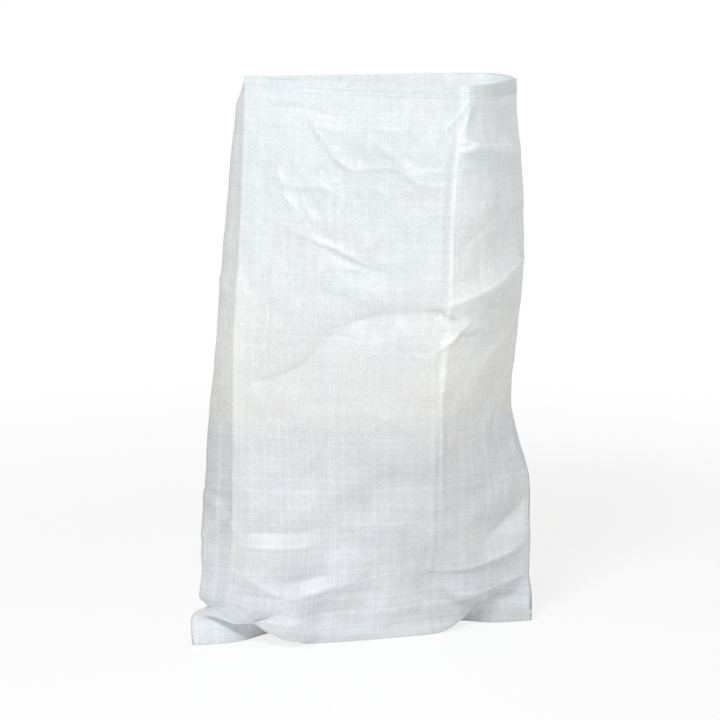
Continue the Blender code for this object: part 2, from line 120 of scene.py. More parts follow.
# Crisp creases: points (place round the tube from the left side fold, height), height outwards, and how far they
# fade on the left and on the right of their direction
crease_radius = 0.0009
crease_gain = 1.8
stray_gain = 2.2
stray_count = 190
crimped = (  # patches of fine upright wrinkles: middle (place, height), half-sizes and depth
    (0.110, 0.600, 0.080, 0.090, 0.0016),
    (0.298, 0.905, 0.030, 0.040, 0.0024),
    (0.225, 0.840, 0.030, 0.040, 0.0022),
    (0.180, 0.735, 0.050, 0.035, 0.0018),
)
corner_sag = 0.026  # how far the body hangs out over the left end of the seam
creases = (
    # upper front
    (
        ((0.148, 0.880), (0.157, 0.871), (0.175, 0.851), (0.196, 0.826), (0.215, 0.815), (0.230, 0.809),
         (0.250, 0.812), (0.272, 0.815), (0.305, 0.815), (0.322, 0.809), (0.335, 0.801), (0.349, 0.792),
         (0.370, 0.788), (0.393, 0.788)),
        0.0036, 0.022, 0.006,
    ),
    (((0.150, 0.880), (0.175, 0.874), (0.205, 0.871), (0.232, 0.871)), 0.0022, 0.014, 0.005),
    (((0.256, 0.879), (0.285, 0.876), (0.308, 0.873)), 0.0018, 0.014, 0.005),
    (((0.083, 0.800), (0.092, 0.783), (0.116, 0.777), (0.150, 0.780), (0.170, 0.784), (0.191, 0.772),
      (0.210, 0.761), (0.227, 0.757)), 0.0024, 0.013, 0.005),
    (((0.086, 0.793), (0.099, 0.761), (0.110, 0.749), (0.122, 0.739)), 0.0018, 0.010, 0.005),
    (((0.204, 0.772), (0.208, 0.740), (0.200, 0.712)), -0.0018, 0.008, 0.010),
    (((0.128, 0.772), (0.136, 0.748), (0.158, 0.722)), 0.0018, 0.008, 0.006),
    (((0.109, 0.707), (0.137, 0.699), (0.172, 0.688), (0.199, 0.680), (0.225, 0.670), (0.248, 0.661),
      (0.266, 0.656)), 0.0034, 0.026, 0.0045),
    (((0.172, 0.688), (0.199, 0.680), (0.225, 0.670), (0.248, 0.661)), 0.0016, 0.006, 0.003),
    (((0.212, 0.650), (0.235, 0.650), (0.262, 0.645)), 0.0018, 0.010, 0.005),
    (((0.235, 0.672), (0.280, 0.664), (0.315, 0.666)), 0.0018, 0.014, 0.010),
    (((0.060, 0.905), (0.110, 0.908), (0.160, 0.902), (0.205, 0.893)), -0.0026, 0.010, 0.014),
    # across the middle
    (
        ((0.169, 0.531), (0.190, 0.545), (0.213, 0.557), (0.259, 0.571), (0.304, 0.579), (0.339, 0.582),
         (0.374, 0.582), (0.403, 0.574), (0.428, 0.566)),
        -0.0036, 0.014, 0.026,
    ),
    (((0.040, 0.455), (0.075, 0.462), (0.105, 0.472), (0.143, 0.490), (0.169, 0.520), (0.205, 0.545)),
     -0.0042, 0.012, 0.022),
    (((0.380, 0.584), (0.393, 0.582), (0.404, 0.579)), -0.0036, 0.005, 0.010),
    (((0.414, 0.574), (0.422, 0.569), (0.433, 0.564)), -0.0040, 0.006, 0.010),
    (((0.396, 0.516), (0.415, 0.530), (0.429, 0.542), (0.438, 0.551), (0.447, 0.559)), 0.0034, 0.008, 0.005),
    (((0.432, 0.548), (0.460, 0.540), (0.480, 0.545)), -0.0028, 0.010, 0.012),
    # front storage crease
    (((0.408, 0.870), (0.410, 0.791), (0.409, 0.723), (0.408, 0.636), (0.410, 0.580)), 0.0030, 0.004, 0.005),
    (((0.396, 0.850), (0.396, 0.792), (0.395, 0.722), (0.395, 0.600)), -0.0018, 0.004, 0.004),
    (((0.416, 0.520), (0.418, 0.449), (0.426, 0.380), (0.430, 0.273), (0.436, 0.232)), 0.0016, 0.006, 0.005),
    (((0.425, 0.945), (0.418, 0.929), (0.409, 0.910), (0.396, 0.892), (0.384, 0.881)), 0.0032, 0.005, 0.006),
    (((0.435, 0.945), (0.422, 0.911), (0.412, 0.878), (0.410, 0.858)), 0.0026, 0.010, 0.005),
    (((0.410, 0.856), (0.418, 0.861), (0.442, 0.855), (0.423, 0.847), (0.413, 0.843)), 0.0026, 0.004, 0.005),
    # right of it
    (((0.415, 0.847), (0.443, 0.854), (0.485, 0.849), (0.538, 0.843), (0.598, 0.832)), 0.0040, 0.004, 0.006),
    (((0.408, 0.594), (0.432, 0.607), (0.466, 0.617), (0.502, 0.628), (0.541, 0.640), (0.573, 0.650),
      (0.599, 0.657)), 0.0044, 0.006, 0.010),
    (((0.584, 0.360), (0.584, 0.326), (0.597, 0.271)), 0.0030, 0.008, 0.008),
    (((0.596, 0.235), (0.578, 0.205), (0.551, 0.181), (0.516, 0.163)), -0.0044, 0.016, 0.020),
    (((0.460, 0.062), (0.494, 0.067), (0.522, 0.071), (0.551, 0.079), (0.592, 0.090)), 0.0055, 0.014, 0.008),
    (((0.431, 0.117), (0.466, 0.119), (0.498, 0.122), (0.530, 0.130), (0.569, 0.142), (0.597, 0.150)),
     0.0060, 0.024, 0.006),
    # low on the front
    (((1.172, 0.252), (1.185, 0.240), (1.201, 0.218), (1.212, 0.200)), 0.0080, 0.010, 0.012),
    (((0.016, 0.180), (0.062, 0.182), (0.098, 0.181), (0.139, 0.181), (0.185, 0.190)), 0.0090, 0.020, 0.040),
    (((0.016, 0.203), (0.062, 0.205), (0.098, 0.204), (0.139, 0.204), (0.165, 0.208)), -0.0026, 0.012, 0.005),
    (((0.230, 0.214), (0.290, 0.220), (0.350, 0.212)), 0.0034, 0.016, 0.035),
    (((0.040, 0.128), (0.070, 0.114), (0.097, 0.104), (0.116, 0.098), (0.145, 0.098), (0.175, 0.104),
      (0.205, 0.112), (0.250, 0.118)), 0.0130, 0.019, 0.036),
    (((0.100, 0.124), (0.116, 0.120), (0.145, 0.120), (0.175, 0.126), (0.205, 0.134)), -0.0024, 0.012, 0.005),
    (((0.400, 0.080), (0.436, 0.078), (0.469, 0.052), (0.493, 0.050), (0.518, 0.058)), -0.0040, 0.007, 0.014),
    (((0.112, 0.060), (0.131, 0.062), (0.150, 0.050), (0.174, 0.035), (0.192, 0.022)), 0.0050, 0.010, 0.012),
    (((0.340, 0.018), (0.400, 0.022), (0.460, 0.022), (0.520, 0.030)), -0.0100, 0.035, 0.060),
)

# Mesh
column_steps = (150, 66, 26, 54, 8)
wall_steps = 260
under_steps = 18
curve_steps = 40

# Weave and thread
tape_width = 0.0027
stitch_length = 0.0090
twist_length = 0.0016
fill_level = 0.385  # the bag looks darker below it
left_strip = 1.145  # place round the tube where the strip left of the front starts, which is painted darker as shade
crest_light_and_shade = 75.0  # brightness for each metre that a crest stands out: painted light on crests and painted shade in valleys
storage_line = (0.405, 0.428)  # place of the front storage crease's line, high and low on the bag
storage_crease_light_and_shade = ((0.004, 0.0045, 0.058), (-0.006, 0.005, -0.055), (-0.022, 0.004, -0.02))  # place, reach, change: a painted highlight line and painted shade lines along the storage crease
see_through = 0.36  # share of the light that goes through the cloth
tones = (  # height, colour on the front; lightest at the bottom, painted light on the upward-facing ear and foot of the front
    (0.03, (0.905, 0.920, 0.940)),
    (0.10, (0.860, 0.868, 0.895)),
    (0.33, (0.846, 0.844, 0.862)),
    (0.42, (0.848, 0.846, 0.838)),
    (0.52, (0.850, 0.854, 0.848)),
    (0.66, (0.845, 0.864, 0.870)),
    (0.95, (0.832, 0.860, 0.872)),
)
side_light_and_shade_tones = (  # height, colour on the sides and the back: painted light and painted shade that set how bright these facets look, darker below the fill level
    (0.10, (0.800, 0.810, 0.830)),
    (0.21, (0.825, 0.828, 0.838)),
    (0.34, (0.772, 0.773, 0.790)),
    (0.41, (0.880, 0.878, 0.858)),
    (0.52, (0.915, 0.912, 0.898)),
    (0.66, (0.885, 0.895, 0.892)),
    (0.95, (0.845, 0.866, 0.872)),
)

# Studio: the camera stands where the photo was taken from, measured like the rings
camera_place = np.array((0.0, -3.85, 1.224))
camera_tilt = math.radians(10.98)
camera_lens = 116.5
surround_light = 0.46
surround_tint = (1.0, 0.995, 0.97)
key_power = 88.0
fill_power = 6.5
floor_white = 0.78
floor_fade = (0.7, 2.4)  # distance over which the floor turns plain white

up = np.array((0.0, 0.0, 1.0))
seam_along = np.array((math.cos(seam_angle), math.sin(seam_angle), 0.0))
seam_back = np.array((-math.sin(seam_angle), math.cos(seam_angle), 0.0))
strip_lift = half_cloth + layer / 2 + thread_diameter + 2 * thread_gap
fold_bottom = 1.5 * layer + half_cloth


def smooth_step(value, low, high):
    share = np.clip((value - low) / (high - low), 0.0, 1.0)
    return share * share * (3 - 2 * share)


def unit(vectors):
    return vectors / np.maximum(np.linalg.norm(vectors, axis=-1, keepdims=True), 1e-12)


def through(heights, values, z):
    """A smooth curve through the values at the heights, read at each z."""
    heights = np.asarray(heights)
    values = np.asarray(values)
    slopes = np.empty_like(values)
    slopes[1:-1] = (values[2:] - values[:-2]) / (heights[2:] - heights[:-2])[:, None]
    slopes[0] = (values[1] - values[0]) / (heights[1] - heights[0])
    slopes[-1] = (values[-1] - values[-2]) / (heights[-1] - heights[-2])
    k = np.clip(np.searchsorted(heights, z, side="right") - 1, 0, len(heights) - 2)
    span = (heights[k + 1] - heights[k])[:, None]
    s = np.clip((z - heights[k])[:, None] / span, 0.0, 1.0)
    rise = values[k] * (1 + 2 * s) * (1 - s) ** 2 + values[k + 1] * s * s * (3 - 2 * s)
    return rise + span * (slopes[k] * s * (1 - s) ** 2 - slopes[k + 1] * s * s * (1 - s))


def turned(direction, angle):
    x = direction[..., 0]
    y = direction[..., 1]
    return np.stack((x * np.cos(angle) - y * np.sin(angle), x * np.sin(angle) + y * np.cos(angle)), -1)


def panel_curves(keys):
    """Fine points along the five panels of every ring: keys is rows x 5 x 2, the result rows x 5 x steps x 2."""
    sharp = np.array(crease_sharpness)[:, None]
    bow = np.array(panel_bow)
    end = np.roll(keys, -1, axis=1)
    chord = end - keys
    reach = np.linalg.norm(chord, axis=-1, keepdims=True)
    along = chord / reach
    ahead = unit(np.roll(keys, -2, axis=1) - keys)
    behind = unit(end - np.roll(keys, 1, axis=1))
    sharp_next = np.roll(sharp, -1, axis=0)
    leave = unit(turned(along, -bow) * sharp + behind * (1 - sharp)) * reach
    arrive = unit(turned(along, bow) * sharp_next + ahead * (1 - sharp_next)) * reach
    s = np.linspace(0, 1, curve_steps + 1)[:, None]
    return (
        keys[:, :, None] * (1 + 2 * s) * (1 - s) ** 2
        + end[:, :, None] * s * s * (3 - 2 * s)
        + leave[:, :, None] * s * (1 - s) ** 2
        - arrive[:, :, None] * s * s * (1 - s)
    )


def deepened(keys, factor):
    left = keys[:, :1]
    right = keys[:, 2:3]
    slope = (right[..., 1] - left[..., 1]) / (right[..., 0] - left[..., 0])
    level = left[..., 1] + slope * (keys[..., 0] - left[..., 0])
    moved = keys.copy()
    moved[..., 1] = level + (keys[..., 1] - level) * factor[:, None]
    return moved


def ring_plans(z):
    """Plan points of the rings at the heights z, each as deep as the tube's girth allows."""
    heights = [ring[0] for ring in rings]
    keys = np.stack([through(heights, [ring[k] for ring in rings], z) for k in range(1, 6)], axis=1)
    low = np.full(len(z), 0.5)
    high = np.full(len(z), 1.6)
    for _ in range(24):
        middle = (low + high) / 2
        curves = panel_curves(deepened(keys, middle))
        girth = np.linalg.norm(np.diff(curves, axis=2), axis=-1).sum(axis=(1, 2))
        low = np.where(girth < 2 * flat_width, middle, low)
        high = np.where(girth < 2 * flat_width, high, middle)
    curves = panel_curves(deepened(keys, low))
    plans = []
    for row in curves:
        plan = []
        for panel, count in zip(row, column_steps):
            steps = np.linalg.norm(np.diff(panel, axis=0), axis=1)
            passed = np.concatenate(((0,), np.cumsum(steps)))
            wanted = passed[-1] * np.arange(count) / count
            plan.append(np.stack([np.interp(wanted, passed, panel[:, axis]) for axis in (0, 1)], -1))
        plans.append(np.concatenate(plan))
    return np.array(plans)


def seam_columns():
    """Each column's place along the seam, its side (-1 front, 1 back) and its place round the tube."""
    panels = (
        (0.0, back_fold, -1),
        (back_fold, flat_width, -1),
        (flat_width, back_fold, 1),
        (back_fold, left_bulge, 1),
        (left_bulge, 0.0, 1),
    )
    columns = []
    for (start, end, side), count in zip(panels, column_steps):
        for i in range(count):
            along = start + (end - start) * i / count
            girth_place = along if side == -1 else 2 * flat_width - along
            at_fold = i == 0 and along in (0.0, flat_width)
            columns.append((along, 0 if at_fold else side, girth_place))
    return columns


def seam_roll(along):
    from_end = min(along, flat_width - along)
    tilt = ear_tilt if along < flat_width / 2 else 0.0
    return (math.pi / 2 + tilt) * float(smooth_step(from_end, ear_length, ear_length + ear_blend)) - tilt


def strip_frame(along):
    """Top of the folded strip, its direction down the strip and its direction through the layers."""
    roll = seam_roll(along)
    down = -up * math.cos(roll) + seam_back * math.sin(roll)
    depth = seam_back * math.cos(roll) + up * math.sin(roll)
    level = (seam_depth + fold_bottom) * math.cos(roll) + strip_lift * abs(math.sin(roll))
    top = seam_centre + seam_along * (along - flat_width / 2) + up * level
    return top, down, depth


def strip_points(along, side):
    """One column of the folded strip: cut edge, up to the bottom fold, round it and on to the seam."""
    top, down, depth = strip_frame(along)
    offset = side * layer / 2
    axis = top + down * seam_depth + depth * layer
    radius = layer - offset
    points = [axis - down * seam_turn_in * s + depth * radius for s in np.linspace(1, 0, 6, endpoint=False)]
    for angle in np.radians(np.arange(0, 181, 30)):
        points.append(axis + depth * radius * math.cos(angle) + down * radius * math.sin(angle))
    for s in np.linspace(1, 0, 8)[1:]:
        points.append(top + depth * offset + down * seam_depth * s)
    return points


def heel_height(share):
    rise = max(share - heel_start, 0.0) / (1 - heel_start)
    return half_cloth + (base_ring_height - half_cloth) * (1 - math.sqrt(max(1 - rise * rise, 0.0)))


def under_points(along, side, ring_point):
    """One column of the cloth that turns under the bag, from the seam to the first ring."""
    top, down, depth = strip_frame(along)
    roll = seam_roll(along)
    bend = 2 * max(roll, 0.0) if side == 1 else 0.0
    point = top + depth * side * layer / 2
    points = []
    for i in range(3):
        angle = bend * (i + 0.5) / 3
        point = point + (-down * math.cos(angle) + depth * math.sin(angle)) * seam_exit / 3
        points.append(point)
    lean = abs(math.sin(roll)) if side == 1 else -math.sin(roll)
    direction = up * math.cos(roll) + seam_back * lean
    reach = np.linalg.norm(ring_point - point)
    first = point + direction * reach * 0.45
    second = ring_point - up * reach * 0.25
    flat_run = np.array((ring_point[0] - point[0], ring_point[1] - point[1], 0.0))
    for i in range(1, under_steps):
        s = i / under_steps
        share = np.interp(s * (len(under_shares) - 1), range(len(under_shares)), under_shares)
        standing = (
            point * (1 - s) ** 3
            + first * 3 * s * (1 - s) ** 2
            + second * 3 * s * s * (1 - s)
            + ring_point * s**3
        )
        resting = point + flat_run * share
        resting[2] = heel_height(share)
        away = (resting - seam_centre) @ seam_back
        if side == 1:
            past_strip = smooth_step(away, seam_depth + 2 * layer, seam_depth + 8 * layer)
            resting[2] = max(resting[2], point[2] * (1 - past_strip))
        lying = math.sin(max(roll, 0.0)) ** 2
        curve = standing * (1 - lying) + resting * lying
        curve[2] = max(curve[2], half_cloth)
        points.append(curve)
    return points


def cloth_grid():
    """The cloth's middle surface as columns x rows x 3, and how many rows come before the wall and the hem."""
    columns = seam_columns()
    hem_foot = height - hem_depth
    wall_heights = np.linspace(base_ring_height, hem_foot, wall_steps + 1)
    hem_heights = np.linspace(hem_foot, height, 10)[1:]
    z = np.concatenate((wall_heights, hem_heights))
    plans = ring_plans(z)
    walls = np.concatenate((plans, np.broadcast_to(z[:, None, None], (*plans.shape[:2], 1))), axis=2)
    along = np.array([c[0] for c in columns])
    side = np.array([c[1] for c in columns])
    swing = np.where(side == 1, np.sin(np.pi * along / flat_width), 0.0)
    walls[:, :, 2] -= mouth_droop * smooth_step(z, height - 0.25, height)[:, None] * swing
    walls = walls.transpose(1, 0, 2)
    top = walls[:, -1]
    tangent = unit(np.roll(top, -1, axis=0) - np.roll(top, 1, axis=0))
    out = unit(np.cross(tangent, up))
    radius = layer / 2
    axis = top - up * radius - out * radius
    walls[:, -1] = axis + out * radius
    hem = []
    for angle in np.radians((45, 90, 135, 180)):
        hem.append(axis + out * radius * math.cos(angle) + up * radius * math.sin(angle))
    inner_foot = walls[:, wall_steps] - out * layer
    for s in np.linspace(0, 1, 10)[1:]:
        hem.append(hem[3] * (1 - s) + inner_foot * s)
    hem = np.stack(hem, axis=1)
    lower = []
    for i, (place, which, _) in enumerate(columns):
        lower.append(strip_points(place, which) + under_points(place, which, walls[i, 0]))
    lower = np.array(lower)
    grid = np.concatenate((lower, walls, hem), axis=1)
    return grid, lower.shape[1], lower.shape[1] + walls.shape[1] - 1


def grid_normals(grid):
    """Outward directions of the cloth at every grid point."""
    round_tube = np.roll(grid, -1, axis=0) - np.roll(grid, 1, axis=0)
    upwards = np.gradient(grid, axis=1)
    return unit(np.cross(round_tube, upwards))


def place_rows(grid):
    """Height on the cloth: true height on the wall, and past either end of the wall the length of cloth from it."""
    steps = np.linalg.norm(np.diff(grid, axis=1), axis=2)
    length = np.concatenate((np.zeros((len(grid), 1)), np.cumsum(steps, axis=1)), axis=1)
    level = grid[:, :, 2].copy()
    level[:, :wall_start] = base_ring_height + length[:, :wall_start] - length[:, wall_start, None]
    level[:, mouth_row:] = height + length[:, mouth_row:] - length[:, mouth_row, None]
    return level


def crease_push(place, level, points, rise, left, right):
    """A crisp crease along a line of (place, level) points: its height, falling off over its two sides' reaches."""
    reach = 4 * max(left, right)
    line = np.array(points)
    middle = line[:, 0].mean()
    wrapped = middle + (place - middle + flat_width) % (2 * flat_width) - flat_width
    near = (wrapped > line[:, 0].min() - reach) & (wrapped < line[:, 0].max() + reach)
    near &= (level > line[:, 1].min() - reach) & (level < line[:, 1].max() + reach)
    here = np.stack((wrapped[near], level[near]), -1)
    total = np.linalg.norm(np.diff(line, axis=0), axis=1).sum()
    best = np.full(len(here), 9.0)
    side = np.zeros(len(here))
    along = np.zeros(len(here))
    passed = 0.0
    for start, end in zip(line, line[1:]):
        run = end - start
        length = np.linalg.norm(run)
        share = np.clip((here - start) @ run / length**2, 0, 1)
        offset = here - start - share[:, None] * run
        away = np.linalg.norm(offset, axis=1)
        closer = away < best
        best = np.where(closer, away, best)
        side = np.where(closer, run[0] * offset[:, 1] - run[1] * offset[:, 0], side)
        along = np.where(closer, (passed + share * length) / total, along)
        passed += length
    blunt = np.sqrt(best**2 + crease_radius**2) - crease_radius
    fall = np.exp(-blunt / np.where(side > 0, left, right))
    ends = np.sqrt(np.clip(np.sin(np.pi * (0.06 + 0.88 * along)), 0, 1))
    push = np.zeros(place.shape)
    push[near] = rise * fall * ends
    return push


def fold_push(points, side_of):
    """The broad folds that the solid has too."""
    push = np.zeros(points.shape[:2])
    for side, start, end, half_width, rise in folds:
        run = np.array(end) - start
        offset = points[:, :, (0, 2)] - start
        share = offset @ run / (run @ run)
        across = np.linalg.norm(offset - share[:, :, None] * run, axis=2)
        ends = smooth_step(share, -0.25, 0.15) * smooth_step(1 - share, -0.25, 0.15)
        push += rise * ends * np.exp(-((across / half_width) ** 2)) * (side_of == side)[:, None]
    return push


def soft_noise(place, level, across, upwards, seed):
    """Smooth noise from -1 to 1, the same at both ends of the girth, with cells of the given size."""
    random = np.random.default_rng(seed)
    count = max(round(2 * flat_width / across), 3)
    rows = int(1.3 / upwards) + 4
    table = random.uniform(-1, 1, (count, rows))
    x = place / (2 * flat_width) * count
    y = (level + 0.2) / upwards
    i = np.floor(x).astype(int)
    j = np.clip(np.floor(y).astype(int), 0, rows - 2)
    s = x - i
    t = np.clip(y - j, 0, 1)
    s = s * s * (3 - 2 * s)
    t = t * t * (3 - 2 * t)
    low = table[i % count, j] * (1 - s) + table[(i + 1) % count, j] * s
    high = table[i % count, j + 1] * (1 - s) + table[(i + 1) % count, j + 1] * s
    return low * (1 - t) + high * t


def stray_creases(count, seed):
    """Short press marks all over the cloth, from its time folded in a pack."""
    random = np.random.default_rng(seed)
    found = []
    for _ in range(count):
        place = random.uniform(0, 2 * flat_width)
        level = random.uniform(0.12, 0.90)
        angle = random.normal(0.25, 0.75)
        length = random.uniform(0.04, 0.16)
        bend = random.uniform(-0.35, 0.35)
        half = np.array((math.cos(angle), math.sin(angle))) * length / 2
        side = np.array((-half[1], half[0])) * bend
        points = [(place, level) - half, (place, level) + side, (place, level) + half]
        sign = 1 if random.random() < 0.65 else -1
        on_front = place < flat_width
        rise = sign * random.uniform(0.0004, 0.0011 if on_front else 0.0026)
        found.append((points, rise, random.uniform(0.006, 0.03), random.uniform(0.005, 0.014)))
    return found


def relief(grid, place, level, sides):
    """How far the cloth stands out from its plain rings: folds, creases and the slack between them."""
    push = fold_push(grid, sides)
    for points, rise, left, right in creases:
        push += crease_gain * crease_push(place, level, points, rise, left, right)
    for points, rise, left, right in stray_creases(stray_count, 5):
        push += stray_gain * crease_push(place, level, points, rise, left, right)
    push += 0.0034 * soft_noise(place, level, 0.20, 0.16, 1)
    low_down = 1 - smooth_step(level, 0.22, 0.42)
    push += 0.0034 * (1 + 0.6 * low_down) * soft_noise(place, level, 0.080, 0.055, 2)
    push += 0.0016 * soft_noise(place, level, 0.042, 0.030, 7)
    crinkled = np.exp(-(((place - 0.19) / 0.10) ** 2) - ((level - 0.77) / 0.09) ** 2)
    push += 0.0024 * (0.4 + crinkled) * soft_noise(place, level, 0.026, 0.034, 3)
    push += 0.0012 * (0.4 + crinkled) * soft_noise(place, level, 0.013, 0.017, 4)
    for middle_place, middle_level, half_across, half_up, rise in crimped:
        mask = np.exp(-(((place - middle_place) / half_across) ** 2) - ((level - middle_level) / half_up) ** 2)
        push += rise * mask * soft_noise(place, level, 0.0085, 0.075, 8)
    off_floor = smooth_step(level, 0.0, 0.05)
    stiff_hem = 1 - 0.75 * smooth_step(level, height - hem_depth - 0.02, height - hem_depth)
    wrapped = (place + flat_width) % (2 * flat_width) - flat_width
    from_fold = np.minimum(np.abs(wrapped), flat_width - np.abs(wrapped))
    taut_fold = 1 - 0.65 * np.exp(-((from_fold / 0.022) ** 2))
    taut_fold *= 1 - 0.55 * np.exp(-(((wrapped + left_bulge) / 0.030) ** 2))
    over_ear = smooth_step(wrapped, 0.0, 0.06) * (1 - smooth_step(wrapped, 0.12, 0.19))
    hang = np.clip((level - 0.004) / 0.092, 0, 1) ** 0.6
    sag = corner_sag * over_ear * np.sin(np.pi * hang) ** 0.8
    pucker = smooth_step(level, height - 0.032, height - 0.020) * (1 - smooth_step(level, height - 0.008, height))
    pucker = 0.0007 * pucker * soft_noise(place, level, 0.013, 0.008, 6)
    return push * off_floor * stiff_hem * taut_fold + sag + pucker


def pressed_in(push):
    """How far each point stands out from the cloth just round it: crests are above 0 and valleys below."""
    around = push
    for _ in range(3):
        around = (np.roll(around, 1, axis=0) + 2 * around + np.roll(around, -1, axis=0)) / 4
        above = np.concatenate((around[:, 1:], around[:, -1:]), axis=1)
        below = np.concatenate((around[:, :1], around[:, :-1]), axis=1)
        around = (above + 2 * around + below) / 4
    return push - around


def cloth_mesh(name, points, place, level, crests):
    """The cloth as one quad mesh, with its own flat coordinates in metres as the UV map cloth."""
    columns, rows = points.shape[:2]
    index = np.arange(columns * rows).reshape(columns, rows)
    after = np.roll(index, -1, axis=0)
    quads = np.stack((index[:, :-1], after[:, :-1], after[:, 1:], index[:, 1:]), -1).reshape(-1, 4)
    mesh = bpy.data.meshes.new(name)
    mesh.from_pydata(points.reshape(-1, 3).tolist(), [], quads.tolist())
    flat = np.stack((place, level), -1).reshape(-1, 2)
    corners = flat[quads.reshape(-1)].reshape(-1, 4, 2)
    last = quads[:, 0] >= index[-1, 0]
    corners[last, 1:3, 0] += 2 * flat_width
    layer_of = mesh.uv_layers.new(name="cloth")
    layer_of.data.foreach_set("uv", corners.reshape(-1).astype(np.float32))
    wear = mesh.attributes.new("crest", "FLOAT", "POINT")
    wear.data.foreach_set("value", crests.reshape(-1).astype(np.float32))
    mesh.shade_smooth()
    return mesh


def shown(name, mesh, finish, *nodes):
    obj = bpy.data.objects.new(name, mesh)
    bpy.context.scene.collection.objects.link(obj)
    mesh.materials.append(finish)
    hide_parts(*nodes)
    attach(obj, "root")
    return obj


def new_material(name, colour, roughness):
    made = bpy.data.materials.new(name)
    made.use_nodes = True
    made.diffuse_color = (*colour, 1)
    shader = made.node_tree.nodes["Principled BSDF"]
    shader.inputs["Base Color"].default_value = (*colour, 1)
    shader.inputs["Roughness"].default_value = roughness
    return made, made.node_tree, shader


def add(tree, kind, **settings):
    node = tree.nodes.new(kind)
    for key, value in settings.items():
        setattr(node, key, value)
    return node


def joined(tree, value, socket):
    """Links a socket, or sets a plain number."""
    if isinstance(value, bpy.types.NodeSocket):
        tree.links.new(value, socket)
    else:
        socket.default_value = value


def sums(tree, operation, *values):
    node = add(tree, "ShaderNodeMath", operation=operation)
    for value, socket in zip(values, node.inputs):
        joined(tree, value, socket)
    return node.outputs[0]


def mapped(tree, value, low, high, to_low, to_high):
    node = add(tree, "ShaderNodeMapRange", interpolation_type="SMOOTHSTEP")
    for given, socket in zip((value, low, high, to_low, to_high), node.inputs):
        joined(tree, given, socket)
    return node.outputs[0]


def pair(tree, x, y, z=0.0):
    node = add(tree, "ShaderNodeCombineXYZ")
    for value, socket in zip((x, y, z), node.inputs):
        joined(tree, value, socket)
    return node.outputs[0]


def noise(tree, vector, scale, detail=2.0, roughness=0.5):
    node = add(tree, "ShaderNodeTexNoise")
    joined(tree, vector, node.inputs["Vector"])
    node.inputs["Scale"].default_value = scale
    node.inputs["Detail"].default_value = detail
    node.inputs["Roughness"].default_value = roughness
    return node.outputs["Fac"]


def chance(tree, value):
    """A fixed random number from 0 to 1 for each whole number."""
    node = add(tree, "ShaderNodeTexWhiteNoise", noise_dimensions="1D")
    joined(tree, value, node.inputs["W"])
    return node.outputs["Value"]


def tinted(tree, factor, first, second):
    node = add(tree, "ShaderNodeMix", data_type="RGBA")
    joined(tree, factor, node.inputs[0])
    for value, socket in zip((first, second), (node.inputs[6], node.inputs[7])):
        if isinstance(value, tuple):
            socket.default_value = (*value, 1)
        else:
            joined(tree, value, socket)
    return node.outputs[2]


def height_ramp(tree, value, stops_of):
    ramp = add(tree, "ShaderNodeValToRGB")
    stops = ramp.color_ramp.elements
    while len(stops) < len(stops_of):
        stops.new(1.0)
    for stop, (position, colour) in zip(stops, stops_of):
        stop.position = position
        stop.color = (*colour, 1)
    joined(tree, value, ramp.inputs[0])
    return ramp.outputs[0]


